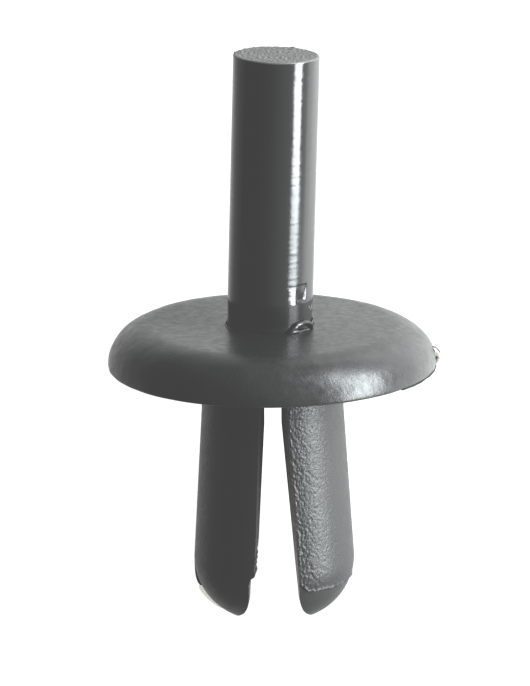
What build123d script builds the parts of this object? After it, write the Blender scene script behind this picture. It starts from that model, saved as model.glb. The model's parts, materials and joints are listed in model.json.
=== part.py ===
"""Plastic push rivet, lying as it rests: on the rim of its head and on the toes of its two legs.

Two pieces: a moulded sleeve (round head, split shank, two splayed legs) and the pin that is driven down
through it. The origin is the centre of the head's bearing face. X runs from leg to leg, and the rivet's
own axis climbs from the floor towards +Y, with the pin's free end high.
"""

import os
from math import acos, atan2, cos, degrees, hypot, radians, sin, sqrt, tan

from build123d import *

# ---- Driving dimensions: millimetres and degrees ---------------------------------------------------------

# Head, measured up from its bearing face
head_diameter = 15.0
head_height = 1.9
crown_diameter = 11.0  # flat middle of the head, before it rolls down to the rim
rim_round = 0.1

# Shank and legs, measured down from the bearing face
shank_diameter = 6.5
root_length = 2.15  # straight stretch that fills the panel's hole
root_fillet = 0.15
leg_length = 12.24
leg_splay = 3.6
nose_length = 3.04
nose_radius = 2.88
toe_round = 2.05  # inner corner of each toe

# Slot between the legs
slot_width = 0.78
slot_collar = 0.5  # shank left whole under the head
slot_top_round = 0.3
slot_draft = 0.45  # how much faster the slot opens than the legs splay
slot_lean = 0.8
flare_at_root = 0.28  # bevel of the slot's edge at the skin
flare_at_toe = 0.05
chip_depth = 0.27  # what is broken out of the left toe's inner face
chip_length = 2.5

# Drive pin
pin_diameter = 3.9
pin_stand_out = 12.5  # free length above the crown
pin_seat = 0.9  # foot below the crown
pin_point_length = 0.8
pin_point_diameter = 2.4
pin_top_round = 0.1
pin_lean = 2.2
pin_offset = 0.1

# Bore that the pin is driven into, the lip that narrows its mouth and the torn web round the pin's foot
bore_clearance = 0.25
bore_straight = 0.7  # below the bearing face, where the bore parts into one pocket in each leg
toe_clearance = 0.15  # below the driven pin
lip_depth = 0.35
lip_clearance = 0.04
web_width = 0.07
web_height = 0.12

# ---- Sizes worked out from them --------------------------------------------------------------------------

head_radius = head_diameter / 2
crown_radius = crown_diameter / 2
shank_radius = shank_diameter / 2
pin_radius = pin_diameter / 2
point_radius = pin_point_diameter / 2
bore_radius = pin_radius + bore_clearance
mouth_radius = pin_radius + lip_clearance
bore_depth = pin_stand_out + pin_seat - head_height + toe_clearance
nose_start = leg_length - nose_length
chip_top = leg_length - chip_length
slot_half = slot_width / 2
margin = 1.0  # how far cutters run past what they cut
lap = 0.4  # how far a form runs into the one that it carries on

# The floor touches the rim and, on each leg, the nose beside the slot. The tilt of the axis at rest is that
# of the line which touches the rim's and the nose's circles in the plane across the slot.
slot_edge = slot_half + flare_at_toe
toe_drop = shank_radius - sqrt(shank_radius**2 - slot_edge**2)
rim_to_nose_out = head_radius - rim_round - (shank_radius - toe_drop - nose_radius)
rim_to_nose_down = rim_round + nose_start
rest_tilt = degrees(
    acos((nose_radius - rim_round) / hypot(rim_to_nose_out, rim_to_nose_down))
    - atan2(rim_to_nose_down, rim_to_nose_out)
)

# ---- Planes and axes -------------------------------------------------------------------------------------

up_axis = (0, cos(radians(rest_tilt)), sin(radians(rest_tilt)))
rivet = Plane(origin=(0, 0, 0), x_dir=(1, 0, 0), z_dir=up_axis)
# Section through both legs: its x runs from leg to leg and its y up the rivet's axis
section = Plane(origin=rivet.origin, x_dir=rivet.x_dir, z_dir=-rivet.y_dir)
middle = Plane(origin=rivet.origin, x_dir=rivet.y_dir, z_dir=rivet.x_dir)


def leaning_section(x, y, angle):
    """The section, moved to (x, y) in itself and turned there; a positive angle tips its foot to +x."""
    start = section.from_local_coords((x, y, 0))
    return Plane(origin=start, x_dir=section.x_dir, z_dir=section.z_dir).rotated((0, 0, angle))


def axis_of(plane):
    """The line that a profile drawn on this section plane is turned about."""
    return Axis(plane.origin, plane.y_dir)


pin_section = leaning_section(-pin_offset, head_height, -pin_lean)

# ---- Sleeve ----------------------------------------------------------------------------------------------


def leg(side):
    """One half of the shank below the root, solid, with the whole of its round nose."""
    plane = leaning_section(0, -root_length, side * leg_splay)
    bend = root_length - nose_start
    with BuildPart() as blank:
        with BuildSketch(plane):
            with Locations((shank_radius, bend)):
                Rectangle(shank_radius, lap - bend, align=(Align.MAX, Align.MIN))
            with Locations((shank_radius - nose_radius, bend)):
                Circle(nose_radius)
            with Locations((shank_radius, lap)):
                Rectangle(shank_radius, leg_length, align=(Align.MAX, Align.MAX), mode=Mode.INTERSECT)
        revolve(axis=axis_of(plane))
        split(bisect_by=middle, keep=Keep.TOP if side > 0 else Keep.BOTTOM)
    return blank.part


def pocket(side):
    """Room for the driven pin in one leg: it carries the bore on along the leg, down to a coned floor."""
    plane = leaning_section(0, -bore_straight, side * leg_splay)
    floor = bore_depth - bore_straight
    with BuildPart() as room:
        with BuildSketch(plane):
            with BuildLine():
                Polyline(
                    (0, 0),
                    (bore_radius, 0),
                    (bore_radius, pin_point_length - floor),
                    (point_radius + bore_clearance, -floor),
                    (0, -floor),
                    close=True,
                )
            make_face()
        revolve(axis=axis_of(plane))
    return room.part


def slot_profile(plane, root_flare=0.0, toe_flare=0.0):
    """Gap between the legs, with the clearing below their toes that trims them square to the axis."""

    def half_width(depth, lean):
        run = depth - root_length
        flare = root_flare + (toe_flare - root_flare) * run / (leg_length - root_length)
        return slot_half + flare + run * tan(radians(leg_splay + slot_draft + lean))

    top = half_width(root_length, 0)
    chip = half_width(chip_top, -slot_lean)
    outside = head_radius
    with BuildSketch(plane) as profile:
        with BuildLine():
            Polyline(
                (-top, -slot_collar),
                (top, -slot_collar),
                (top, -root_length),
                (half_width(leg_length, slot_lean), -leg_length),
                (outside, -leg_length),
                (outside, -leg_length - margin),
                (-outside, -leg_length - margin),
                (-outside, -leg_length),
                (-half_width(leg_length, -slot_lean) - chip_depth, -leg_length),
                (-chip - chip_depth, -chip_top),
                (-chip, -chip_top + chip_depth),
                (-top, -root_length),
                close=True,
            )
        make_face()
        toes = vertices().group_by(Axis.Y)[1].sort_by(lambda corner: abs(corner.X))[:2]
        fillet(toes, min(toe_round, 0.9 * chip_length))
        fillet(vertices().group_by(Axis.Y)[-1], slot_top_round)
    return profile.sketch


with BuildPart() as sleeve:
    # Head and the straight root of the shank
    with BuildSketch(section):
        with BuildLine():
            bearing = Line((shank_radius, 0), (head_radius - rim_round, 0))
            TangentArc(bearing @ 1, (head_radius, rim_round), tangent=bearing % 1)
            EllipticalCenterArc(
                (crown_radius, rim_round),
                head_radius - crown_radius,
                head_height - rim_round,
                start_angle=0,
                arc_size=90,
            )
            Polyline(
                (crown_radius, head_height),
                (0, head_height),
                (0, -root_length),
                (shank_radius, -root_length),
                bearing @ 0,
            )
        make_face()
        fillet(vertices().sort_by_distance((shank_radius, 0, 0))[0], root_fillet)
    revolve(axis=axis_of(section))
    for side in (-1, 1):
        add(leg(side))
    # Slot, then the bevel of its edges, which is widest at the root and runs out towards the toes
    extrude(slot_profile(section), amount=head_radius, both=True, mode=Mode.SUBTRACT)
    reach = shank_radius + margin
    growth = (reach - bore_radius) / (shank_radius - bore_radius)
    for side in (-1, 1):
        loft(
            [
                slot_profile(section.offset(side * bore_radius)),
                slot_profile(section.offset(side * reach), growth * flare_at_root, growth * flare_at_toe),
            ],
            ruled=True,
            mode=Mode.SUBTRACT,
        )
    # Bore and its pockets, up to the lip
    for side in (-1, 1):
        add(pocket(side), mode=Mode.SUBTRACT)
    with BuildSketch(rivet.offset(head_height - lip_depth)):
        Circle(bore_radius)
    extrude(amount=-(head_height - lip_depth + bore_straight + lap), mode=Mode.SUBTRACT)
    # Web torn off the pin's foot, and the mouth through it and the lip
    with BuildSketch(pin_section):
        with BuildLine():
            Polyline(
                (0, -lip_depth / 2),
                (mouth_radius + web_width, -lip_depth / 2),
                (mouth_radius + web_width, 0),
                (mouth_radius, web_height),
                (0, web_height),
                close=True,
            )
        make_face()
    revolve(axis=axis_of(pin_section))
    with BuildSketch(Plane(origin=pin_section.origin, x_dir=pin_section.x_dir, z_dir=pin_section.y_dir)):
        Circle(mouth_radius)
    extrude(amount=lip_depth + lap, both=True, mode=Mode.SUBTRACT)
sleeve.part.label = "sleeve"

# ---- Drive pin -------------------------------------------------------------------------------------------

with BuildPart() as drive_pin:
    with BuildSketch(pin_section):
        with BuildLine():
            Polyline(
                (0, -pin_seat),
                (point_radius, -pin_seat),
                (pin_radius, pin_point_length - pin_seat),
                (pin_radius, pin_stand_out),
                (0, pin_stand_out),
                close=True,
            )
        make_face()
        fillet(vertices().sort_by_distance((pin_radius, pin_stand_out, 0))[0], pin_top_round)
    revolve(axis=axis_of(pin_section))
drive_pin.part.label = "drive_pin"

# ---- Files -----------------------------------------------------------------------------------------------

os.makedirs("parts", exist_ok=True)
export_step(sleeve.part, "parts/sleeve.step")
export_step(drive_pin.part, "parts/drive_pin.step")
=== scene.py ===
import json
import math

import bpy
import numpy as np
from mathutils import Matrix, Vector, noise


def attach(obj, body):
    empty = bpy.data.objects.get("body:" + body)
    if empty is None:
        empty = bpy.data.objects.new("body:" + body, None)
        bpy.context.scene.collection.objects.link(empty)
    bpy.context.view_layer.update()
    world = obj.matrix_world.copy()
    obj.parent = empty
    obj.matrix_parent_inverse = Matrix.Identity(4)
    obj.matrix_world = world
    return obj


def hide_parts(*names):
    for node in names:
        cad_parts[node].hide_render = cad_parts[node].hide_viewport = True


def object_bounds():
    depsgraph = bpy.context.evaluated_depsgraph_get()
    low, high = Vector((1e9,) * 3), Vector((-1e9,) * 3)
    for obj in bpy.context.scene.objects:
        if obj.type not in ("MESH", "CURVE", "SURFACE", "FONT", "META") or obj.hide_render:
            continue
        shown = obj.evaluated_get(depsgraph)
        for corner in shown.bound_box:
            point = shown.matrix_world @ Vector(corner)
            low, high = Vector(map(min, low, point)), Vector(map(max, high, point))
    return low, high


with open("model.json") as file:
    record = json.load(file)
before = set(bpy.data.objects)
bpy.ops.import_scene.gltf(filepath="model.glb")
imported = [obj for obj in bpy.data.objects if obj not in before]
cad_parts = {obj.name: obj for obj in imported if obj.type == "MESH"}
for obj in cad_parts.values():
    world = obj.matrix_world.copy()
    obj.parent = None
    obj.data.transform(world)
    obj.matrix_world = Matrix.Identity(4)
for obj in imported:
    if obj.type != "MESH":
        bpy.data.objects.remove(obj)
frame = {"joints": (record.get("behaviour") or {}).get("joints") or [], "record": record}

cad_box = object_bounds()
record = frame["record"]
MM = 0.001

# Looks of the plastic push rivet. Three meshes stand for its sleeve and one for its pin, and six more add
# the torn threads and the flash. Their materials, the floor, the lights and the camera follow.

# ---- The rivet's own frame -------------------------------------------------------------------------------
# Local coordinates are millimetres: x from leg to leg, y away from the camera, z up the rivet's axis from
# the head's bearing face. The frame gives the axis and the pin's line of travel.

mounts = {mount["name"]: mount for mount in record["mounts"]}
across = Vector((1, 0, 0))
up = -Vector(mounts["bearing_face"]["axis"]).normalized()
away = up.cross(across)
to_world = np.array([across, away, up], float) * MM  # local row vector @ this = world
drive = Vector(next(j for j in frame["joints"] if j["name"] == "pin_drive")["axis"]).normalized()

# ---- Sizes of the CAD forms that the meshes follow, in millimetres and degrees ---------------------------

HEAD_RADIUS = 7.5
HEAD_HEIGHT = 1.9
CROWN_RADIUS = 5.5
RIM_ROUND = 0.1
SHANK_RADIUS = mounts["shank"]["dims"]["r_mm"]
ROOT_LENGTH = 2.15
ROOT_FILLET = 0.15
LEG_LENGTH = 12.24
LEG_SPLAY = 3.6
NOSE_LENGTH = 3.04
NOSE_RADIUS = 2.88
TOE_ROUND = 2.05

SLOT_WIDTH = 0.78
SLOT_COLLAR = 0.5
SLOT_TOP_ROUND = 0.3
SLOT_DRAFT = 0.45
SLOT_LEAN = 0.8
FLARE_AT_ROOT = 0.28
FLARE_AT_TOE = 0.05
CHIP_DEPTH = 0.27
CHIP_LENGTH = 2.76  # a little more than the solid's 2.5, as in the photograph

PIN_RADIUS = 1.95
PIN_STAND_OUT = 12.5
PIN_SEAT = 0.9
PIN_POINT_LENGTH = 0.8
PIN_POINT_RADIUS = 1.2
PIN_TOP_ROUND = 0.1
PIN_OFFSET = 0.1

BORE_CLEARANCE = 0.25
BORE_STRAIGHT = 0.7
TOE_CLEARANCE = 0.15
LIP_DEPTH = 0.35
LIP_CLEARANCE = 0.04
WEB_WIDTH = 0.07
WEB_HEIGHT = 0.12

BORE_RADIUS = PIN_RADIUS + BORE_CLEARANCE
BORE_DEPTH = PIN_STAND_OUT + PIN_SEAT - HEAD_HEIGHT + TOE_CLEARANCE
NOSE_START = LEG_LENGTH - NOSE_LENGTH
MOUTH_RADIUS = PIN_RADIUS + LIP_CLEARANCE

splay = math.radians(LEG_SPLAY)
pin_foot = np.array([-PIN_OFFSET, 0, HEAD_HEIGHT])
pin_up = -np.array([drive.dot(across), drive.dot(away), drive.dot(up)])
pin_across = np.cross(np.array([0, 1, 0]), pin_up)

# ---- Helpers ---------------------------------------------------------------------------------------------

SHARP_ANGLE = 28  # between two faces, in degrees, from which the edge between them is shaded sharp
WELD_DIGITS = 6  # of a millimetre, to which points in one place agree
THREAD_STEPS = 8  # points of a thread from one given point to the next
THREAD_SIDES = 10
TAPER_POWER = 6  # the higher, the nearer to its ends a strand tapers
BESIDE_THREADS = (0.3, 0.9, 0.3)  # a direction that no thread runs along


class Shape:
    """Grids of quads in local millimetres, with one number a point that a material can read."""

    def __init__(self):
        self.points = []
        self.faces = []
        self.values = []

    def add_grid(self, points, value=0.0, closed=False, flip=False):
        """A grid of points, rows by columns, joined by quads; closed joins each row's end to its start."""
        rows, columns = points.shape[:2]
        index = sum(map(len, self.points)) + np.arange(rows * columns).reshape(rows, columns)
        self.points.append(points.reshape(-1, 3))
        self.values.append(np.broadcast_to(value, (rows, columns)).reshape(-1))
        if closed:
            index = np.hstack([index, index[:, :1]])
        corners = [index[:-1, :-1], index[:-1, 1:], index[1:, 1:], index[1:, :-1]]
        quads = np.stack(corners, -1).reshape(-1, 4)
        self.faces.append(quads[:, ::-1] if flip else quads)

    def object(self, name, body):
        """The mesh object, riding on a body."""
        points, faces = np.vstack(self.points), np.vstack(self.faces)
        values = np.concatenate(self.values)
        # Points in one place become one, which makes a triangle of a quad at a pole
        _, first, same = np.unique(
            np.round(points, WELD_DIGITS), axis=0, return_index=True, return_inverse=True
        )
        faces = [distinct(face) for face in same.reshape(-1)[faces].tolist()]
        faces = [face for face in faces if len(face) > 2]
        mesh = bpy.data.meshes.new(name)
        mesh.from_pydata((points[first] @ to_world).tolist(), [], faces)
        mesh.validate()
        mask = mesh.attributes.new("mask", "FLOAT", "POINT")
        mask.data.foreach_set("value", values[first].astype(np.float32))
        mesh.polygons.foreach_set("use_smooth", [True] * len(mesh.polygons))
        mesh.set_sharp_from_angle(angle=math.radians(SHARP_ANGLE))
        obj = bpy.data.objects.new(name, mesh)
        bpy.context.scene.collection.objects.link(obj)
        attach(obj, body)
        return obj


def distinct(face):
    """The face's corners without repeats."""
    return [corner for i, corner in enumerate(face) if corner != face[i - 1]]


def smoothstep(low, high, value):
    """0 at low and 1 at high, with a soft start and end between them."""
    share = np.clip((value - low) / (high - low), 0, 1)
    return share * share * (3 - 2 * share)


def ridge(distance, width):
    """1 where the distance is 0, falling smoothly to 0.37 at this width."""
    return np.exp(-(distance / width) ** 2)


def wave(points, size, shift=0.0, squeeze=1.0):
    """Smooth noise of about -1 to 1 at each point, with bumps of this size in millimetres. They are shorter
    along z where squeeze is over 1, and the shift tells one noise from another."""
    flat = (points * (1, 1, squeeze)).reshape(-1, 3) / size + shift
    return np.array([noise.noise(p) for p in flat.tolist()]).reshape(points.shape[:-1])


def waves(points, layers):
    """The sum of several waves, each given as its depth, its size, and its shift and squeeze."""
    return sum(depth * wave(points, *layer) for depth, *layer in layers)


def circle(turns):
    """Cosines and sines of a full turn's even steps."""
    angle = np.arange(turns) * 2 * math.pi / turns
    return np.cos(angle), np.sin(angle)


def pin_outward(cos, sin):
    """Directions outward from the pin's own axis."""
    return np.outer(cos, pin_across) + np.outer(sin, (0, 1, 0))


def pin_ring(radius, height, cos, sin):
    """A ring round the pin's own axis, measured up from the pin's foot."""
    climb = np.outer(np.broadcast_to(height, len(cos)), pin_up)
    return pin_foot + pin_outward(cos, sin) * np.reshape(radius, (-1, 1)) + climb


def smooth_path(points):
    """A smooth curve through the given points (Catmull-Rom)."""
    points = np.asarray(points, float)
    points = np.vstack([2 * points[0] - points[1], points, 2 * points[-1] - points[-2]])
    t = np.linspace(0, 1, THREAD_STEPS, endpoint=False)[:, None]
    spans = []
    for a, b, c, d in zip(points, points[1:], points[2:], points[3:]):
        slope = (c - a) * t
        bend = (2 * a - 5 * b + 4 * c - d) * t**2
        twist = (3 * b - a - 3 * c + d) * t**3
        spans.append(0.5 * (2 * b + slope + bend + twist))
    return np.vstack(spans + [points[-2:-1]])


def add_strand(shape, path, wide, thin):
    """A closed strand along a path, its section an ellipse with these half axes; it tapers at both ends."""
    run = np.linspace(-1, 1, len(path))[:, None]
    taper = np.sqrt(np.clip(1 - run**TAPER_POWER, 0, None))
    cos, sin = circle(THREAD_SIDES)
    wide, thin = (np.broadcast_to(axis, path.shape)[:, None] for axis in (wide, thin))
    ring = wide * cos[:, None] + thin * sin[:, None]
    shape.add_grid(path[:, None] + ring * taper[..., None], closed=True)


def add_thread(shape, points, thickness):
    """A thread of round section through the given points."""
    path = smooth_path(points)
    along = np.gradient(path, axis=0)
    along /= np.linalg.norm(along, axis=1)[:, None]
    wide = np.cross(along, BESIDE_THREADS)
    wide *= thickness / 2 / np.linalg.norm(wide, axis=1)[:, None]
    add_strand(shape, path, wide, np.cross(along, wide))


# ---- Sleeve: head ----------------------------------------------------------------------------------------

HEAD_TURNS = 512
DOME_ROWS = 34
ROUND_ROWS = 6
UNDERSIDE_ROWS = 24
CROWN_ROWS = 30
CROWN_CROWDING = 1.15  # over 1, the crown's rows crowd towards the pin
HEAD_TILT = 0.7  # how far the top of the head dips to the right, in degrees

# The rim is uneven where the plastic sank as it cooled: depth, size and shift of each wave
RIM_WAVES = ((0.022, 1.2, 0), (0.008, 0.5, 5))
RIM_WAVES_FULL = 6.3  # radius from which they have their full depth
RIM_WAVES_UP = 0.6  # share of their depth that goes up the axis

# What is left of the torn web, as shares of the whole web's height and width, and size of its teeth
TORN_HEIGHT = 0.15
TORN_HEIGHT_SWING = 0.2
TORN_HEIGHT_TOOTH = 0.45
TORN_WIDTH = 0.75
TORN_WIDTH_SWING = 0.35
TORN_WIDTH_TOOTH = 0.3
TORN_LEVEL = 0.35  # share of the width, beside the pin, that is level


def head_profile():
    """Radius and height of the head from the flat crown's edge, round the rim, to the collar's foot."""
    dome = np.radians(np.linspace(0, 90, DOME_ROWS))
    roll = np.radians(np.linspace(0, 90, ROUND_ROWS))[1:]
    dome_width = HEAD_RADIUS - CROWN_RADIUS
    dome_height = HEAD_HEIGHT - RIM_ROUND
    underside = np.linspace(HEAD_RADIUS - 2 * RIM_ROUND, SHANK_RADIUS + ROOT_FILLET, UNDERSIDE_ROWS)
    parts = [
        (CROWN_RADIUS + dome_width * np.sin(dome), RIM_ROUND + dome_height * np.cos(dome)),
        (HEAD_RADIUS - RIM_ROUND * (1 - np.cos(roll)), RIM_ROUND * (1 - np.sin(roll))),
        (underside, 0 * underside),
        (SHANK_RADIUS + ROOT_FILLET * (1 - np.sin(roll)), -ROOT_FILLET * (1 - np.cos(roll))),
        ([SHANK_RADIUS, SHANK_RADIUS, BORE_RADIUS], [-2 * ROOT_FILLET, -SLOT_COLLAR, -SLOT_COLLAR]),
    ]
    return np.hstack([np.array(part) for part in parts]).T


def build_head():
    """The head in rings: up the bore, over the torn web, out across the crown, round the rim and back."""
    cos, sin = circle(HEAD_TURNS)

    def ring(radius, height):
        return np.c_[cos * radius, sin * radius, np.full(len(cos), height)]

    tooth = wave(ring(BORE_RADIUS, 0), TORN_HEIGHT_TOOTH)
    web = WEB_HEIGHT * (TORN_HEIGHT + TORN_HEIGHT_SWING * tooth)
    tooth = wave(ring(BORE_RADIUS, 1), TORN_WIDTH_TOOTH)
    width = WEB_WIDTH * (TORN_WIDTH + TORN_WIDTH_SWING * tooth)
    foot = pin_ring(MOUTH_RADIUS + width, 0, cos, sin)
    foot[:, 2] = HEAD_HEIGHT
    edge = ring(CROWN_RADIUS, HEAD_HEIGHT)
    shares = (np.arange(1, CROWN_ROWS) / CROWN_ROWS) ** CROWN_CROWDING
    rows = [
        ring(BORE_RADIUS, -SLOT_COLLAR),
        ring(BORE_RADIUS, HEAD_HEIGHT - LIP_DEPTH),
        pin_ring(MOUTH_RADIUS, -LIP_DEPTH, cos, sin),
        pin_ring(MOUTH_RADIUS, web, cos, sin),
        pin_ring(MOUTH_RADIUS + TORN_LEVEL * width, web, cos, sin),
        foot,
        *[foot + (edge - foot) * share for share in shares],
        *[ring(radius, height) for radius, height in head_profile()],
    ]
    rows = np.array(rows)
    # The top's dip and the uneven rim leave the crown's middle and the bearing face as they are
    height = np.clip(rows[..., 2] / HEAD_HEIGHT, 0, 1)
    reach = np.hypot(rows[..., 0], rows[..., 1])
    outside = smoothstep(SHANK_RADIUS, CROWN_RADIUS, reach)
    uneven = waves(rows, RIM_WAVES) * smoothstep(CROWN_RADIUS, RIM_WAVES_FULL, reach)
    rows[..., 2] -= rows[..., 0] * math.tan(math.radians(HEAD_TILT)) * height * outside
    swell = 1 + uneven * outside * (height > 0) / HEAD_RADIUS
    rows[..., :2] *= swell[..., None]
    rows[..., 2] += uneven * RIM_WAVES_UP * outside * height
    shape = Shape()
    shape.add_grid(rows, closed=True, flip=True)
    return shape.object("sleeve_head", "sleeve")


# ---- Sleeve: legs ----------------------------------------------------------------------------------------
# A leg is laid out in rows across its own axis. In a row, out is measured from the leg's axis away from the
# slot and y away from the camera; both legs are built alike and the left one is turned over.

ROW_STEP = 0.04
SKIN_COLUMNS = 248
FACE_COLUMNS = 14
BORE_COLUMNS = 24
PIVOT_GAP = 0.24  # bare of rows above the bend, as leaning rows would cross them
NOSE_END = 89  # of the nose's quarter circle, in degrees
WIDEST_EDGE = 0.9 * math.pi  # no slot cuts the skin further round than this
EDGE_HALVINGS = 40
NO_EDGE = 1e-6  # angle under which a row is past the toe
FACE_ROUNDS = 12

# Ragged edge above the left toe's chip: its depth, its level as a share of that, and its teeth
TEAR = 0.09
TEAR_LEVEL = 0.3
TEAR_TOOTH, TEAR_SHIFT = 0.2, 11
TEAR_START, TEAR_FULL = 1.9, 1.2  # above the chip's top
TEAR_END = 0.3  # below the chip's top

# Pebbled grain of the spark-eroded mould
GRAIN_DEPTH = 0.0138
GRAIN_SQUEEZE = 0.8  # under 1, the pebbles are longer down the leg than across it
PEBBLE = 0.105  # from one pebble to the next
PEBBLE_LEVEL, PEBBLE_FALL = 0.6, 1.7  # its top, and its slope to its edge, as shares of the depth
GRAIN_BEND = (0.05, 0.3, 40)  # waves that bend the pebbles' pattern, and those on the pebbles
GRAIN_FINE = (0.25, 0.1, 20)

# Where the grain lies, as depth below the bearing face and distance from the slot's edge
GRAIN_TOP, GRAIN_TOP_FULL = 0.6, 1.0
GRAIN_END = 10.0
GRAIN_FADE = 0.08
END_WAVE = (0.05, 0.3, 50)
END_CLIMB, END_CLIMB_WIDTH = 0.4, 0.3  # its end climbs beside the slot's edge
EDGE_BARE, EDGE_GRAINED = 0.03, 0.12
PLAIN_GRAIN = 0.5  # share of the depth far from the slot's edge
EDGE_GRAIN, EDGE_GRAIN_WIDTH = 1.5, 1.0  # what the right leg's gains beside the edge

# The right leg's grained skin stands above its smooth nose, with a bead along its end and a hem along the
# slot's edge, both broken up by waves; the bead and hem are shares of the step
GRAIN_STEP = 0.016
BEAD = 2.2
BEAD_LEVEL, BEAD_WAVE = 1, (1.5, 0.16, 30)
HEM = 1.2
HEM_PLACE, HEM_WIDTH = 0.11, 0.05
HEM_LEVEL, HEM_WAVE = 0.6, (2, 0.15, 60)
RAGGED_MOST = 2  # how many times its height a bead or hem can have
PAINTED_SHEEN_RAMP = 0.2  # from the pocket's edge to where the right leg's slot faces have their full painted sheen, a lighter colour standing in for light on them


def slot_face(side, depth, y):
    """Distance of a leg's inner face from the middle of the slot, at a depth below the bearing face."""
    slope = math.tan(math.radians(LEG_SPLAY + SLOT_DRAFT + side * SLOT_LEAN))
    angle = math.atan(slope)

    def face_at(below):
        return SLOT_WIDTH / 2 + np.clip(below - ROOT_LENGTH, 0, None) * slope

    # Rounded toe
    centre = LEG_LENGTH - TOE_ROUND
    arc = np.sqrt(np.clip(TOE_ROUND**2 - (depth - centre) ** 2, 0, None))
    toe = face_at(centre) + TOE_ROUND / math.cos(angle) - arc
    face = np.where(depth > centre + TOE_ROUND * math.sin(angle), toe, face_at(depth))
    # Chip out of the left toe
    if side < 0:
        chip_top = LEG_LENGTH - CHIP_LENGTH
        face = face + CHIP_DEPTH * np.clip((depth - chip_top + CHIP_DEPTH) / CHIP_DEPTH, 0, 1)
        torn = smoothstep(chip_top - TEAR_START, chip_top - TEAR_FULL, depth)
        torn = torn * smoothstep(chip_top + TEAR_END, chip_top, depth)
        down = np.stack([0 * depth, 0 * depth, depth], -1)
        face = face + TEAR * torn * (TEAR_LEVEL + wave(down, TEAR_TOOTH, TEAR_SHIFT))
    # Rounded top of the slot, and the bevel that starts at the bore
    above = np.clip(SLOT_COLLAR + SLOT_TOP_ROUND - depth, 0, SLOT_TOP_ROUND)
    face = face - SLOT_TOP_ROUND + np.sqrt(SLOT_TOP_ROUND**2 - above**2)
    run = np.clip(depth - ROOT_LENGTH, 0, None) / (LEG_LENGTH - ROOT_LENGTH)
    flare = FLARE_AT_ROOT + (FLARE_AT_TOE - FLARE_AT_ROOT) * run
    return face + flare * np.clip(np.abs(y) - BORE_RADIUS, 0, None) / (SHANK_RADIUS - BORE_RADIUS)


def leg_rows():
    """For each row: the axis's lean, its distance down from the pivot, the skin's radius and its slope."""
    bend = NOSE_START - ROOT_LENGTH
    straight = np.arange(SLOT_COLLAR - ROOT_LENGTH, -PIVOT_GAP, ROW_STEP)
    leaning = np.arange(0, bend, ROW_STEP)
    nose = np.arange(0, math.radians(NOSE_END), ROW_STEP / NOSE_RADIUS)
    lean = np.r_[straight * 0, leaning * 0 + splay, nose * 0 + splay]
    down = np.r_[straight, leaning, bend + NOSE_RADIUS * np.sin(nose)]
    rounded = np.r_[straight * 0, leaning * 0, NOSE_RADIUS * (1 - np.cos(nose))]
    slope = np.r_[straight * 0, leaning * 0, nose]
    return lean, down, SHANK_RADIUS - rounded, slope


def on_leg(lean, down, out):
    """Local x away from the slot, and depth, of places given in rows."""
    return out * np.cos(lean) + down * np.sin(lean), ROOT_LENGTH + down * np.cos(lean) - out * np.sin(lean)


def edge_angles(side, lean, down, radius):
    """Angle from the outermost line to where the slot cuts the skin, by halving; 0 past the toe."""
    low, high = np.zeros_like(down), np.full_like(down, WIDEST_EDGE)
    for _ in range(EDGE_HALVINGS):
        middle = (low + high) / 2
        x, depth = on_leg(lean, down, radius * np.cos(middle))
        kept = x > slot_face(side, depth, radius * np.sin(middle))
        low, high = np.where(kept, middle, low), np.where(kept, high, middle)
    return low


def face_out(side, lean, down, y):
    """Where a row meets the slot's face, at distance y from the middle plane of the legs."""
    out = np.zeros(np.broadcast(lean, y).shape)
    for _ in range(FACE_ROUNDS):
        _, depth = on_leg(lean, down, out)
        out = (slot_face(side, depth, y) - down * np.sin(lean)) / np.cos(lean)
    return out


def bore_in_row(lean, down):
    """Centre and radius of the pin's pocket in each row; its foot is a cone."""
    depth = ROOT_LENGTH + down
    pivot = ROOT_LENGTH - BORE_STRAIGHT
    above_bend = np.clip(depth - BORE_STRAIGHT, 0, None) * math.tan(splay)
    centre = np.where(lean > 0, pivot * math.sin(splay), above_bend)
    floor = BORE_DEPTH - BORE_STRAIGHT - pivot * math.cos(splay)
    narrowing = (PIN_RADIUS - PIN_POINT_RADIUS) * np.clip((down - floor) / PIN_POINT_LENGTH + 1, 0, 1)
    return centre, np.where(down <= floor, BORE_RADIUS - narrowing, 0)


def grain(points):
    """Height of the grain at each point, in millimetres."""
    stretched = points * (1, 1, GRAIN_SQUEEZE)
    flat = (stretched + waves(stretched, [GRAIN_BEND])[..., None]).reshape(-1, 3) / PEBBLE
    near = np.array([noise.voronoi(p)[0][0] for p in flat.tolist()]).reshape(points.shape[:-1])
    return GRAIN_DEPTH * (PEBBLE_LEVEL - PEBBLE_FALL * near**2 + waves(stretched, [GRAIN_FINE]))


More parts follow.
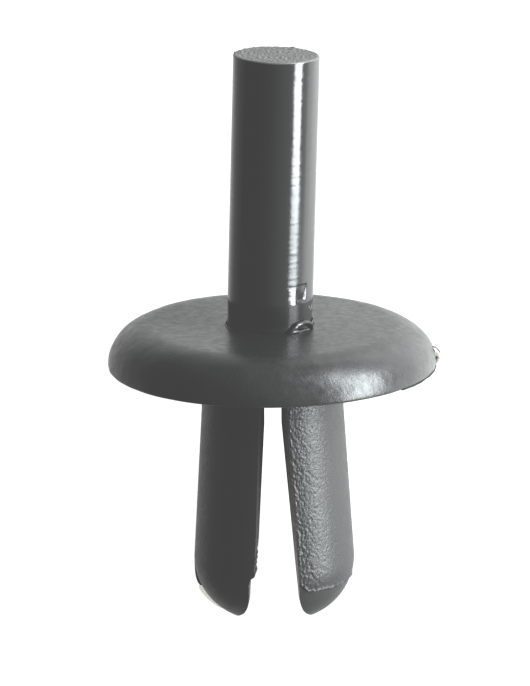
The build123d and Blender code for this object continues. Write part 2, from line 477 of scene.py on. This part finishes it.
def leg_skin(side, lean, down, radius, slope, edge):
    """Outer skin, from the edge near the camera round to the far one, and where it is grained."""
    angle = edge * np.linspace(-1, 1, SKIN_COLUMNS)
    x, depth = on_leg(lean, down, radius * np.cos(angle))
    skin = np.stack([side * x, radius * np.sin(angle), -depth], -1)
    to_edge = radius * (edge - np.abs(angle))
    off_edge = smoothstep(EDGE_BARE, EDGE_GRAINED, to_edge)
    end = GRAIN_END - END_CLIMB * ridge(to_edge, END_CLIMB_WIDTH) + waves(skin, [END_WAVE])
    above_end = smoothstep(end + GRAIN_FADE, end, depth)
    grained = off_edge * above_end * smoothstep(GRAIN_TOP, GRAIN_TOP_FULL, depth)
    deep, step = PLAIN_GRAIN, 0
    if side > 0:
        bead = ridge(depth - end, GRAIN_FADE) * off_edge
        bead = bead * np.clip(BEAD_LEVEL + waves(skin, [BEAD_WAVE]), 0, RAGGED_MOST)
        hem = ridge(to_edge - HEM_PLACE, HEM_WIDTH)
        hem = hem * np.clip(HEM_LEVEL + waves(skin, [HEM_WAVE]), 0, RAGGED_MOST) * grained
        deep = PLAIN_GRAIN + EDGE_GRAIN * ridge(to_edge, EDGE_GRAIN_WIDTH)
        step = GRAIN_STEP * (above_end - 1 + BEAD * bead + HEM * hem)
    height = deep * grain(skin) * grained + step
    normal_out, normal_down = np.cos(angle) * np.cos(slope), np.broadcast_to(np.sin(slope), angle.shape)
    normal = np.stack([
        side * (normal_out * np.cos(lean) + normal_down * np.sin(lean)),
        np.sin(angle) * np.cos(slope),
        -(normal_down * np.cos(lean) - normal_out * np.sin(lean)),
    ], -1)
    return skin + normal * height[..., None], grained


def leg_inside(side, lean, down, radius, edge):
    """Far bevel and face, pocket's wall, near face and bevel, and on the right leg the share of a painted
    sheen: a lighter colour that stands in for light on its slot faces.
    """
    centre, bore = bore_in_row(lean, down)
    middle_out = face_out(side, lean, down, 0 * down)
    opening = np.sqrt(np.clip(bore**2 - (middle_out - centre) ** 2, 0, None))
    opening = np.where(middle_out - centre < bore, opening, 0)
    skin_y = radius * np.sin(edge)
    opening = np.minimum(opening, skin_y)
    face_y = skin_y + (opening - skin_y) * np.linspace(0, 1, FACE_COLUMNS)
    far_out = face_out(side, lean, down, face_y)
    turn = np.arctan2(opening, middle_out - centre) * np.linspace(1, -1, BORE_COLUMNS)
    wall_out = np.where(opening > 0, centre + bore * np.cos(turn), middle_out)
    wall_y = np.where(opening > 0, bore * np.sin(turn), 0)
    out = np.hstack([far_out, wall_out[:, 1:-1], far_out[:, ::-1]])
    y = np.hstack([face_y, wall_y[:, 1:-1], -face_y[:, ::-1]])
    x, depth = on_leg(lean, down, out)
    # Painted sheen: only the right leg's slot faces get a lighter colour, which stands in for light on them
    cut_and_painted_sheen = smoothstep(BORE_RADIUS, BORE_RADIUS + PAINTED_SHEEN_RAMP, np.abs(y)) * (side > 0)
    return np.stack([side * x, y, -depth], -1), cut_and_painted_sheen


def build_leg(name, side):
    """A leg: the left one's side is -1 and the right one's is 1. Its mask is 1 on grain, and -1 on the
    right leg's slot faces, which have a painted sheen there.
    """
    lean, down, radius, slope = leg_rows()
    edge = edge_angles(side, lean, down, radius)
    last = int(np.argmax(edge < NO_EDGE)) + 1
    lean, down, radius, slope, edge = (v[:last, None] for v in (lean, down, radius, slope, edge))
    skin, grained = leg_skin(side, lean, down, radius, slope, edge)
    inside, cut_and_painted_sheen = leg_inside(side, lean, down, radius, edge)
    inside[:, 0], inside[:, -1] = skin[:, -1], skin[:, 0]
    shape = Shape()
    shape.add_grid(skin, grained, flip=side > 0)
    shape.add_grid(inside, -cut_and_painted_sheen, flip=side > 0)
    return shape.object(name, "sleeve")


sleeve_pieces = [build_head(), build_leg("sleeve_left_leg", -1), build_leg("sleeve_right_leg", 1)]
for piece in sleeve_pieces:
    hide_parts("sleeve")

# ---- Drive pin -------------------------------------------------------------------------------------------
# Heights are above the crown, and turns are degrees from the camera's side round to the right.

PIN_TURNS = 256
SHAFT_ROWS = 240
ROLL_ROWS = 7
TOP_ROWS = 70

# Fine rings round the shaft, from its mould, and slow waves down it: depth, size, shift and squeeze of each
SHAFT_WAVES = ((0.004, 0.9, 0, 7), (0.002, 0.4, 9, 3), (0.006, 1.1, 4, 0.4))
SHAFT_MARKED = 0.4  # from here up, so the pin stays round in its mouth
ENDS_UNMARKED = 0.9  # share of the radius inside which its ends have none
BURNISHED = 2.1  # height of the foot that the bore polished
BURNISHED_RAMP = 0.2
BURNISHED_CALM = 0.7  # share of the waves that it lacks

# A pressed dent at the right of the foot: its floor leans down, and its right wall is a narrow slope
DENT_LEFT, DENT_LEFT_FULL, DENT_RIGHT = 37.5, 39.5, 57
DENT_TOP, DENT_TOP_FULL = 2.26, 2.2
DENT_FOOT, DENT_FOOT_FULL = 1.42, 1.5
DENT_DEPTH, DENT_LEAN, DENT_LEAN_TOP, DENT_LEAN_RUN = 0.03, 0.06, 2.22, 0.7
DENT_SLOPE = 0.48

# A scratch that carries on the dent's top edge, and the taper of the foot
SCRATCH_DEPTH = 0.012
SCRATCH_TURN, SCRATCH_REACH = 30, 9
SCRATCH_HEIGHT, SCRATCH_WIDTH = 2.14, 0.04
FOOT_TAPER, FOOT_TAPER_TOP = 0.03, 1.32

# Nicks and burrs of the top's rim, on its far side and its flanks, and the top's rough face
NICK = 0.24
NICK_WAVE, NICK_SHIFT, NICK_LEVEL = 0.26, 3, 0.15
BURR_SHARE, BURR_LEVEL = 0.7, 0.2  # height of the burrs as a share of the nicks' depth
NICK_REACH = 0.22
NICK_NEAR, NICK_FULL = -0.4, 0.1  # where they start and are full, as shares of the radius away
ROUGH_TOP, ROUGH_TOP_WAVE, ROUGH_TOP_SHIFT, ROUGH_TOP_RIM = 0.04, 0.13, 6, 0.2
TOP_START, TOP_FULL = 0.12, 0.02  # below the top

# How far the shaft's finish is from glossy to matte: all over it, and added at the right above the foot
SHAFT_DULLNESS = 0.18
FOOT_DULLNESS = 0.2
DULL_TOP, DULL_FULL = 9, 2.5
DULL_LEFT, DULL_LEFT_FULL, DULL_RIGHT_FULL, DULL_RIGHT = 20, 28, 44, 58
POLISH_WAVE, POLISH_SIZE, POLISH_SHIFT, POLISH_RAMP = 0.12, 0.5, 12, 0.06


def pin_profile():
    """Radius and height of the pin's outline, from the middle of its point to that of its top."""
    shaft = np.linspace(PIN_POINT_LENGTH - PIN_SEAT, PIN_STAND_OUT - PIN_TOP_ROUND, SHAFT_ROWS)
    roll = np.radians(np.linspace(0, 90, ROLL_ROWS))[1:]
    roll_radius = PIN_RADIUS - PIN_TOP_ROUND * (1 - np.cos(roll))
    roll_height = PIN_STAND_OUT - PIN_TOP_ROUND * (1 - np.sin(roll))
    face = np.linspace(PIN_RADIUS - PIN_TOP_ROUND, 0, TOP_ROWS)[1:]
    return np.vstack([
        [(0.0, -PIN_SEAT), (PIN_POINT_RADIUS, -PIN_SEAT)],
        np.c_[shaft * 0 + PIN_RADIUS, shaft],
        np.c_[roll_radius, roll_height],
        np.c_[face, face * 0 + PIN_STAND_OUT],
    ])


def dent(turn, height):
    deep = DENT_DEPTH + DENT_LEAN * np.clip((DENT_LEAN_TOP - height) / DENT_LEAN_RUN, 0, 1)
    wall = np.degrees(deep / DENT_SLOPE / PIN_RADIUS)
    across_dent = smoothstep(DENT_LEFT, DENT_LEFT_FULL, turn) * np.clip((DENT_RIGHT - turn) / wall, 0, 1)
    up_dent = smoothstep(DENT_TOP, DENT_TOP_FULL, height)
    return across_dent * deep * up_dent * smoothstep(DENT_FOOT, DENT_FOOT_FULL, height)


def scratch(turn, height):
    across_scratch = ((turn - SCRATCH_TURN) / SCRATCH_REACH) ** 4
    return SCRATCH_DEPTH * np.exp(-across_scratch - ((height - SCRATCH_HEIGHT) / SCRATCH_WIDTH) ** 2)


def rough_top(rows, radius, sin):
    """How far the top's face and rim stand up or are nicked."""
    to_rim = np.abs(radius - PIN_RADIUS)
    ragged = wave(rows, NICK_WAVE, NICK_SHIFT, 0)
    nick = np.clip(ragged - NICK_LEVEL, 0, 1) - BURR_SHARE * np.clip(-ragged - BURR_LEVEL, 0, 1)
    nick = nick * smoothstep(NICK_REACH, 0.0, to_rim) * smoothstep(NICK_NEAR, NICK_FULL, sin)
    coarse = ROUGH_TOP * wave(rows, ROUGH_TOP_WAVE, ROUGH_TOP_SHIFT, 0)
    return coarse * smoothstep(0.0, ROUGH_TOP_RIM, to_rim) - NICK * nick


def dullness(rows, turn, height):
    """Share of the matte finish: more at the shaft's lower right, and none on the polished foot there."""
    edge = BURNISHED + POLISH_WAVE * wave(rows, POLISH_SIZE, POLISH_SHIFT, 0)
    polished = smoothstep(edge, edge - POLISH_RAMP, height)
    foot = FOOT_DULLNESS * smoothstep(DULL_TOP, DULL_FULL, height) * (1 - polished)
    foot = foot - SHAFT_DULLNESS * polished
    foot = foot * smoothstep(DULL_LEFT, DULL_LEFT_FULL, turn)
    return SHAFT_DULLNESS + foot * smoothstep(DULL_RIGHT, DULL_RIGHT_FULL, turn)


def build_pin():
    """The pin in rings up its own axis, closed by its two ends. Its mask is -1 on the top's cut face."""
    cos, sin = circle(PIN_TURNS)
    profile = pin_profile()
    rows = np.array([pin_ring(radius, height, cos, sin) for radius, height in profile])
    radius, height = profile[:, :1], profile[:, 1:]
    turn = np.degrees(np.arctan2(cos, -sin))
    burnished = smoothstep(BURNISHED + BURNISHED_RAMP, BURNISHED, height)
    rings = waves(rows, SHAFT_WAVES) * (1 - BURNISHED_CALM * burnished)
    taper = FOOT_TAPER * np.clip(FOOT_TAPER_TOP - height, 0, None)
    proud = rings - dent(turn, height) - scratch(turn, height) - taper
    on_shaft = smoothstep(0.0, SHAFT_MARKED, height) * (height <= PIN_STAND_OUT)
    on_shaft = on_shaft * (radius > PIN_RADIUS * ENDS_UNMARKED)
    rows = rows + pin_outward(cos, sin) * (proud * on_shaft)[..., None]
    top = smoothstep(PIN_STAND_OUT - TOP_START, PIN_STAND_OUT - TOP_FULL, height)
    rows = rows + pin_up * (rough_top(rows, radius, sin) * top)[..., None]
    shape = Shape()
    shape.add_grid(rows, dullness(rows, turn, height) * (1 - top) - top, closed=True, flip=True)
    return shape.object("pin_moulding", "pin")


pin = build_pin()
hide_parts("drive_pin")

# ---- Flash, torn threads and film ------------------------------------------------------------------------

# Threads of torn web beside the pin's foot: turn and height of each point, then distance off the pin and
# thickness. The pin's burr, bent to a V, has points of the same kind.
TORN_THREADS = (
    ([(23, -0.06), (29, 0.1), (37, 0.29), (47, 0.37), (56, 0.34), (65, 0.2), (73, 0.0)], 0.09, 0.2),
    ([(23, -0.08), (28, 0.05), (34, 0.08), (41, 0.03), (50, 0.04), (60, 0.0)], 0.17, 0.14),
    ([(66, 0.02), (72, 0.1), (77, 0.24), (80, 0.42)], 0.05, 0.1),
)
PIN_BURR = [(63, 1.1), (67, 0.96), (71, 0.83), (77, 0.94), (85, 1.1)]
PIN_BURR_THICKNESS = 0.08

# Whiskers of flash that curl off the right of the rim: local points, then thickness
WHISKERS = (
    ([(7.05, 0, 0.68), (7.3, 0, 0.75), (7.5, -0.02, 0.7), (7.62, -0.04, 0.58), (7.7, -0.05, 0.42)], 0.09),
    ([(7.3, -0.1, 0.74), (7.42, -0.12, 0.6), (7.45, -0.14, 0.4), (7.42, -0.14, 0.25)], 0.08),
    ([(7.4, 0, 0.38), (7.52, 0.02, 0.34), (7.6, 0.02, 0.24), (7.52, 0, 0.08), (7.42, 0, -0.04)], 0.22),
    ([(7.0, 0.1, 0.84), (7.12, 0.1, 0.92), (7.24, 0.1, 0.86)], 0.1),
)

FIN_FROM, FIN_TO = 50, 88  # degrees from the camera's side of the rim round to the right
FIN_POINTS = 60
FIN_HALF = 0.045  # half its thickness
FIN_INSET, FIN_HEIGHT = 0.02, 0.01
FIN_SWING, FIN_WAVE = 0.6, 0.5

# Along the parting line of the left toe, by degrees round its nose: a wedge of flash that ends in a step,
# then a thin film. Each is rooted below the skin, stands proud of it and has half a thickness.
TOE_POINTS = 30
WEDGE_FROM, WEDGE_TO = 6, 33
WEDGE_RISE_FROM, WEDGE_RISE_TO = 8, 30
WEDGE_PROUD, WEDGE_RISE = 0.02, 0.13
WEDGE_ROOT, WEDGE_HALF = 0.1, 0.06
FILM_FROM, FILM_TO = 31, 62
FILM_PROUD, FILM_FALL = 0.25, 0.06
FILM_ROOT, FILM_HALF = 0.04, 0.012


def at_foot(turn, height, off):
    """A place beside the pin's foot: turn, height above the crown and distance off the pin."""
    turn = math.radians(turn)
    reach = PIN_RADIUS + off
    return pin_foot + np.array([reach * math.sin(turn), -reach * math.cos(turn), height])


def build_torn_web():
    """What tore when the pin was last pushed: glossy threads of web at the right of its foot."""
    shape = Shape()
    for places, off, thickness in TORN_THREADS:
        add_thread(shape, [at_foot(*place, off) for place in places], thickness)
    return shape.object("torn_web", "sleeve")


def build_rim_flash():
    shape = Shape()
    for points, thickness in WHISKERS:
        add_thread(shape, points, thickness)
    return shape.object("rim_flash", "sleeve")


def build_rim_fin():
    """The fin of flash round the foot of the rim, at its right."""
    shape = Shape()
    turn = np.radians(np.linspace(FIN_FROM, FIN_TO, FIN_POINTS))[:, None]
    fin = np.hstack([np.sin(turn), -np.cos(turn), 0 * turn]) * (HEAD_RADIUS - FIN_INSET)
    rough = 1 + FIN_SWING * wave(fin, FIN_WAVE)[:, None]
    wide = fin / HEAD_RADIUS * FIN_HALF * rough
    add_strand(shape, fin + (0, 0, FIN_HEIGHT), wide, (0, 0, FIN_HALF) * rough)
    return shape.object("rim_fin", "sleeve")


def build_pin_burr():
    shape = Shape()
    add_thread(shape, [at_foot(*place, 0.0) for place in PIN_BURR], PIN_BURR_THICKNESS)
    return shape.object("pin_burr", "pin")


def on_left_nose(angle, radius):
    """Places in the parting plane of the left leg, by angle round the centre of its nose."""
    out = SHANK_RADIUS - NOSE_RADIUS + radius * np.cos(angle)
    down = NOSE_START - ROOT_LENGTH + radius * np.sin(angle)
    x, depth = on_leg(splay, down, out)
    return np.stack([-x, 0 * x, -depth], -1)


def build_along_toe(name, angle, root, proud, half):
    """A strand along the left toe's parting line."""
    shape = Shape()
    inner, outer = on_left_nose(angle, NOSE_RADIUS - root), on_left_nose(angle, NOSE_RADIUS + proud)
    add_strand(shape, (inner + outer) / 2, (outer - inner) / 2, (0, half, 0))
    return shape.object(name, "sleeve")


def build_toe_flash():
    angle = np.radians(np.linspace(WEDGE_FROM, WEDGE_TO, TOE_POINTS))
    rise = smoothstep(math.radians(WEDGE_RISE_FROM), math.radians(WEDGE_RISE_TO), angle)
    return build_along_toe("toe_flash", angle, WEDGE_ROOT, WEDGE_PROUD + WEDGE_RISE * rise, WEDGE_HALF)


def build_toe_film():
    angle = np.radians(np.linspace(FILM_FROM, FILM_TO, TOE_POINTS))
    proud = FILM_PROUD - FILM_FALL * np.linspace(0, 1, TOE_POINTS)
    return build_along_toe("toe_film", angle, FILM_ROOT, proud, FILM_HALF)


torn_web, rim_flash, rim_fin = build_torn_web(), build_rim_flash(), build_rim_fin()
toe_flash, toe_film, pin_burr = build_toe_flash(), build_toe_film(), build_pin_burr()

# ---- Materials -------------------------------------------------------------------------------------------

BLACK = (0.02, 0.02, 0.02)
# Painted sheen of the right leg's slot faces: a lighter colour that stands in for light on them
PAINTED_SLOT_SHEEN = (0.24, 0.24, 0.21)
FLASH = (0.19, 0.19, 0.17)
BURR = (0.07, 0.07, 0.058)
FILM = (0.88, 0.91, 0.83)
CUT_TOP = (0.085, 0.085, 0.082)
NOISE_RANGE = (0.3, 0.7)  # of nearly all of a noise texture's values
PATCH_DETAIL = 3
BUMP_DETAIL = 2


def noise_texture(nodes, links, where, size, detail):
    """A noise texture with bumps of this size in millimetres."""
    texture = nodes.new("ShaderNodeTexNoise")
    texture.inputs["Scale"].default_value = 1 / (size * MM)
    texture.inputs["Detail"].default_value = detail
    links.new(where, texture.inputs["Vector"])
    return texture.outputs["Fac"]


def spread(nodes, links, value, low, high):
    """A noise texture's value, spread out from low to high."""
    mapped = nodes.new("ShaderNodeMapRange")
    ends = zip(("From Min", "From Max", "To Min", "To Max"), (*NOISE_RANGE, low, high))
    for end, number in ends:
        mapped.inputs[end].default_value = number
    links.new(value, mapped.inputs["Value"])
    return mapped.outputs["Result"]


def bumped(nodes, links, height, distance, under=None):
    """A bump of this height in millimetres, over another normal where one is given."""
    bump = nodes.new("ShaderNodeBump")
    bump.inputs["Strength"].default_value = 1
    bump.inputs["Distance"].default_value = distance * MM
    links.new(height, bump.inputs["Height"])
    if under is not None:
        links.new(under, bump.inputs["Normal"])
    return bump.outputs["Normal"]


def feed(links, value, end):
    """Gives an input its value: another node's output is linked to it, and a number or colour is set."""
    if hasattr(value, "links"):
        links.new(value, end)
    else:
        end.default_value = value


def mixed(nodes, links, share, low, high, socket):
    """Sets a shader's socket to low where share is 0 and to high where it is 1."""
    mix = nodes.new("ShaderNodeMix")
    mix.data_type = "RGBA" if isinstance(low, tuple) else "FLOAT"
    kind = "RGBA" if isinstance(low, tuple) else "VALUE"
    ends = [i for i in mix.inputs if i.type == kind][-2:]
    for end, value in zip(ends, (low, high)):
        feed(links, value, end)
    links.new(share, mix.inputs["Factor"])
    links.new(next(o for o in mix.outputs if o.type == kind), socket)


def math_node(nodes, links, operation, *values):
    """A node for one operation on values, which are other nodes' outputs or numbers."""
    node = nodes.new("ShaderNodeMath")
    node.operation = operation
    for end, value in zip(node.inputs, values):
        feed(links, value, end)
    return node


def plastic(name, colour, roughness, bumps, gloss=0.5, patch=0.45, clear=0.0, matte=None, cut_and_painted_sheen=None):
    """A moulded plastic: roughness from low to high in patches, over bumps given as size and height. Where
    the mesh's mask is 1 or -1 it can be matte, and where it is -1 it can have another colour: the pin's cut
    top, or the painted sheen (a lighter colour standing in for light) of the right leg's slot faces."""
    material = bpy.data.materials.new(name)
    material.use_nodes = True
    nodes, links = material.node_tree.nodes, material.node_tree.links
    shader = nodes["Principled BSDF"]
    shader.inputs["Base Color"].default_value = (*colour, 1)
    shader.inputs["Specular IOR Level"].default_value = gloss
    shader.inputs["Transmission Weight"].default_value = clear
    where = nodes.new("ShaderNodeTexCoord").outputs["Object"]
    patches = noise_texture(nodes, links, where, patch, PATCH_DETAIL)
    rough = spread(nodes, links, patches, *roughness)
    mask = nodes.new("ShaderNodeAttribute")
    mask.attribute_name = "mask"
    if matte:
        either = math_node(nodes, links, "ABSOLUTE", mask.outputs["Fac"])
        mixed(nodes, links, either.outputs["Value"], rough, matte, shader.inputs["Roughness"])
    else:
        links.new(rough, shader.inputs["Roughness"])
    # Where the mask is -1: the pin's cut top, or the painted sheen of the right leg's slot faces
    if cut_and_painted_sheen:
        cut = math_node(nodes, links, "MULTIPLY", mask.outputs["Fac"], -1)
        cut.use_clamp = True
        ends = (*colour, 1), (*cut_and_painted_sheen, 1)
        mixed(nodes, links, cut.outputs["Value"], *ends, shader.inputs["Base Color"])
    normal = None
    for size, height in bumps:
        texture = noise_texture(nodes, links, where, size, BUMP_DETAIL)
        normal = bumped(nodes, links, texture, height, normal)
    links.new(normal, shader.inputs["Normal"])
    return material


def finish(pieces, material):
    for piece in pieces:
        piece.data.materials.append(material)


finish(
    [sleeve_pieces[0], toe_flash],
    plastic("black_head", BLACK, (0.25, 0.38), [(0.07, 0.006), (0.2, 0.009)], gloss=0.4, patch=0.35),
)
# The legs, with a painted sheen on the right leg's slot faces: a lighter colour standing in for light on
# them
finish(
    sleeve_pieces[1:],
    plastic("black_leg", BLACK, (0.38, 0.47), [(0.07, 0.012)], gloss=0.42, cut_and_painted_sheen=PAINTED_SLOT_SHEEN),
)
finish(
    [pin],
    plastic("black_gloss", BLACK, (0.05, 0.1), [(0.1, 0.0006)], gloss=0.42, matte=0.5, cut_and_painted_sheen=CUT_TOP),
)
finish([torn_web], plastic("black_torn", BLACK, (0.22, 0.3), [(0.1, 0.004)]))
finish([rim_fin], plastic("black_fin", BLACK, (0.6, 0.7), [(0.1, 0.01)], gloss=0.1))
finish([rim_flash], plastic("grey_flash", FLASH, (0.6, 0.7), [(0.1, 0.002)]))
finish([pin_burr], plastic("grey_burr", BURR, (0.6, 0.7), [(0.1, 0.002)]))
finish([toe_film], plastic("pale_film", FILM, (0.4, 0.5), [(0.1, 0.002)], clear=0.85))

# ---- Floor -----------------------------------------------------------------------------------------------

FLOOR_SIZE = 3.0  # metres from its middle to its edges
FLOOR_COLOUR = (0.1, 0.1, 0.1)
FLOOR_ROUGHNESS = 0.8
# How bright the floor's glow shines on the rivet, painted light: emission that stands in for the window's
# light falling on the floor. It is given at places in millimetres from left to right, and as a share of
# that from the toes' side to the pin's
FLOOR_GLOW_ACROSS = (
    (-20, 0.65), (-8, 0.84), (0, 1.0), (5, 1.15), (9, 1.6), (14, 2.6), (20, 3.3), (45, 3.3), (100, 1.5)
)
FLOOR_GLOW_ALONG = ((-16, 0.5), (-8, 1.0), (6, 0.97))


def glow_ramp(nodes, links, place, stops):
    """The brightness at a place, eased from one of the given stops to the next."""
    low, high = stops[0][0], stops[-1][0]
    share = nodes.new("ShaderNodeMapRange")
    share.inputs["From Min"].default_value = low * MM
    share.inputs["From Max"].default_value = high * MM
    links.new(place, share.inputs["Value"])
    ramp = nodes.new("ShaderNodeValToRGB")
    ramp.color_ramp.interpolation = "EASE"
    elements = ramp.color_ramp.elements
    for at, _ in stops[1:-1]:
        elements.new((at - low) / (high - low))
    for element, (_, brightness) in zip(elements, stops):
        element.color = (brightness, brightness, brightness, 1)
    links.new(share.outputs["Result"], ramp.inputs["Fac"])
    return ramp.outputs["Color"]


def floor_white():
    """A pale floor that glows, painted light: its emission stands in for the window's light on it and is
    brighter to the right; to the camera it is white.
    """
    material = bpy.data.materials.new("floor_white")
    material.use_nodes = True
    nodes, links = material.node_tree.nodes, material.node_tree.links
    shader = nodes["Principled BSDF"]
    shader.inputs["Base Color"].default_value = (*FLOOR_COLOUR, 1)
    shader.inputs["Roughness"].default_value = FLOOR_ROUGHNESS
    shader.inputs["Specular IOR Level"].default_value = 0.0
    shader.inputs["Emission Color"].default_value = (1, 1, 1, 1)
    where = nodes.new("ShaderNodeSeparateXYZ")
    links.new(nodes.new("ShaderNodeTexCoord").outputs["Object"], where.inputs["Vector"])
    # Painted pool of the window's light: the floor's emission grows towards the right
    across_glow = glow_ramp(nodes, links, where.outputs["X"], FLOOR_GLOW_ACROSS)
    along_glow = glow_ramp(nodes, links, where.outputs["Y"], FLOOR_GLOW_ALONG)
    glow = math_node(nodes, links, "MULTIPLY", across_glow, along_glow).outputs["Value"]
    seen = nodes.new("ShaderNodeLightPath").outputs["Is Camera Ray"]
    strength = math_node(nodes, links, "MAXIMUM", glow, seen).outputs["Value"]
    links.new(strength, shader.inputs["Emission Strength"])
    return material


def build_floor():
    z, size = cad_box[0][2], FLOOR_SIZE
    corners = [(-size, -size, z), (size, -size, z), (size, size, z), (-size, size, z)]
    mesh = bpy.data.meshes.new("floor")
    mesh.from_pydata(corners, [], [(0, 1, 2, 3)])
    obj = bpy.data.objects.new("floor", mesh)
    bpy.context.scene.collection.objects.link(obj)
    mesh.materials.append(floor_white())


# ---- Light and tones -------------------------------------------------------------------------------------

# A tall window at the right, what of it the head alone sees, and a soft top light. Each has its turn round
# the rivet's axis from the camera's side to the right, its climb above the head's plane, its width and
# height in metres, its radiance and its slant, which moves its foot to the left.
WINDOWS = (
    ("window", 67, 15, (0.17, 0.51), 31, 12),
    ("window_head", 74, 55, (0.14, 0.1), 9, 0),
    ("window_top", 84, 50, (0.3, 0.3), 2.5, 0),
)
WINDOW_COLOUR = (0.92, 0.98, 1.0)
WINDOW_DISTANCE = 0.4
ROOM_COLOUR = (1.0, 0.99, 0.96)
ROOM_LIGHT = 0.6
DARKEST = 0.055  # level at which the photograph's blacks stop
KNEE = ((0.85, 1.03), (1.4, 1.42))  # of the tone curve above it: from and to, as shares of it


def add_window(name, turn, climb, size, radiance, slant):
    """A rectangular light that faces the head and stands along the rivet's axis."""
    turn, climb, slant = math.radians(turn), math.radians(climb), math.radians(slant)
    level = math.cos(climb)
    toward = across * (math.sin(turn) * level) - away * (math.cos(turn) * level) + up * math.sin(climb)
    sideways = Matrix.Rotation(-slant, 3, toward) @ up.cross(toward).normalized()
    light = bpy.data.lights.new(name, "AREA")
    light.shape = "RECTANGLE"
    light.size, light.size_y = size
    light.energy = radiance * math.pi * size[0] * size[1]
    light.color = WINDOW_COLOUR
    obj = bpy.data.objects.new(name, light)
    facing = Matrix((sideways, toward.cross(sideways), toward)).transposed().to_4x4()
    obj.matrix_world = Matrix.Translation(toward * WINDOW_DISTANCE) @ facing
    bpy.context.scene.collection.objects.link(obj)


def light_room():
    world = bpy.data.worlds.new("surroundings")
    bpy.context.scene.world = world
    world.use_nodes = True
    background = world.node_tree.nodes["Background"]
    background.inputs["Color"].default_value = (*ROOM_COLOUR, 1)
    background.inputs["Strength"].default_value = ROOM_LIGHT


def lift_blacks():
    """The photograph's tones: its blacks stop at a dark grey."""
    settings = bpy.context.scene.view_settings
    settings.view_transform = "Standard"
    settings.use_curve_mapping = True
    combined = settings.curve_mapping.curves[3]  # the one that all three colours share
    combined.points[0].location = (0, DARKEST)
    for level, lifted in KNEE:
        combined.points.new(DARKEST * level, DARKEST * lifted)
    settings.curve_mapping.update()


build_floor()
for window in WINDOWS:
    add_window(*window)
light_room()
lift_blacks()

# ---- Camera ----------------------------------------------------------------------------------------------

# Fitted to the rivet's outline; pixels are those of the photograph
PHOTO_WIDTH, PHOTO_HEIGHT = 530, 686
BEARING_CENTRE = (272.2, 364.0)  # where the bearing face's centre is seen
CAMERA_DISTANCE = 198.6
PIXELS_PER_MM = 21.87  # at the bearing face's centre
LOOK_DOWN = 14.86  # of the line of sight on the plane of the head
ROLL = 0.65  # of the rivet in the picture
SENSOR = 36.0
NEAREST = 0.005  # metres from the camera to what it can see


def build_camera():
    tilt, roll = math.radians(LOOK_DOWN), math.radians(ROLL)
    up_seen = Vector((-math.sin(roll) * math.cos(tilt), math.cos(roll) * math.cos(tilt), math.sin(tilt)))
    across_seen = Vector((math.cos(roll), math.sin(roll), 0))
    away_seen = up_seen.cross(across_seen)
    seen = Matrix((across_seen, away_seen, up_seen)).transposed()
    to_local = Matrix((across, away, up))
    turn = (seen @ to_local).transposed()
    centre = Vector((
        (BEARING_CENTRE[0] - PHOTO_WIDTH / 2) / PIXELS_PER_MM,
        (PHOTO_HEIGHT / 2 - BEARING_CENTRE[1]) / PIXELS_PER_MM,
        -CAMERA_DISTANCE,
    )) * MM
    data = bpy.data.cameras.new("camera")
    data.sensor_fit = "VERTICAL"
    data.sensor_height = SENSOR
    data.lens = PIXELS_PER_MM * CAMERA_DISTANCE / PHOTO_HEIGHT * SENSOR
    data.clip_start = NEAREST
    camera = bpy.data.objects.new("camera", data)
    camera.matrix_world = Matrix.Translation(-(turn @ centre)) @ turn.to_4x4()
    bpy.context.scene.collection.objects.link(camera)
    bpy.context.scene.camera = camera


build_camera()
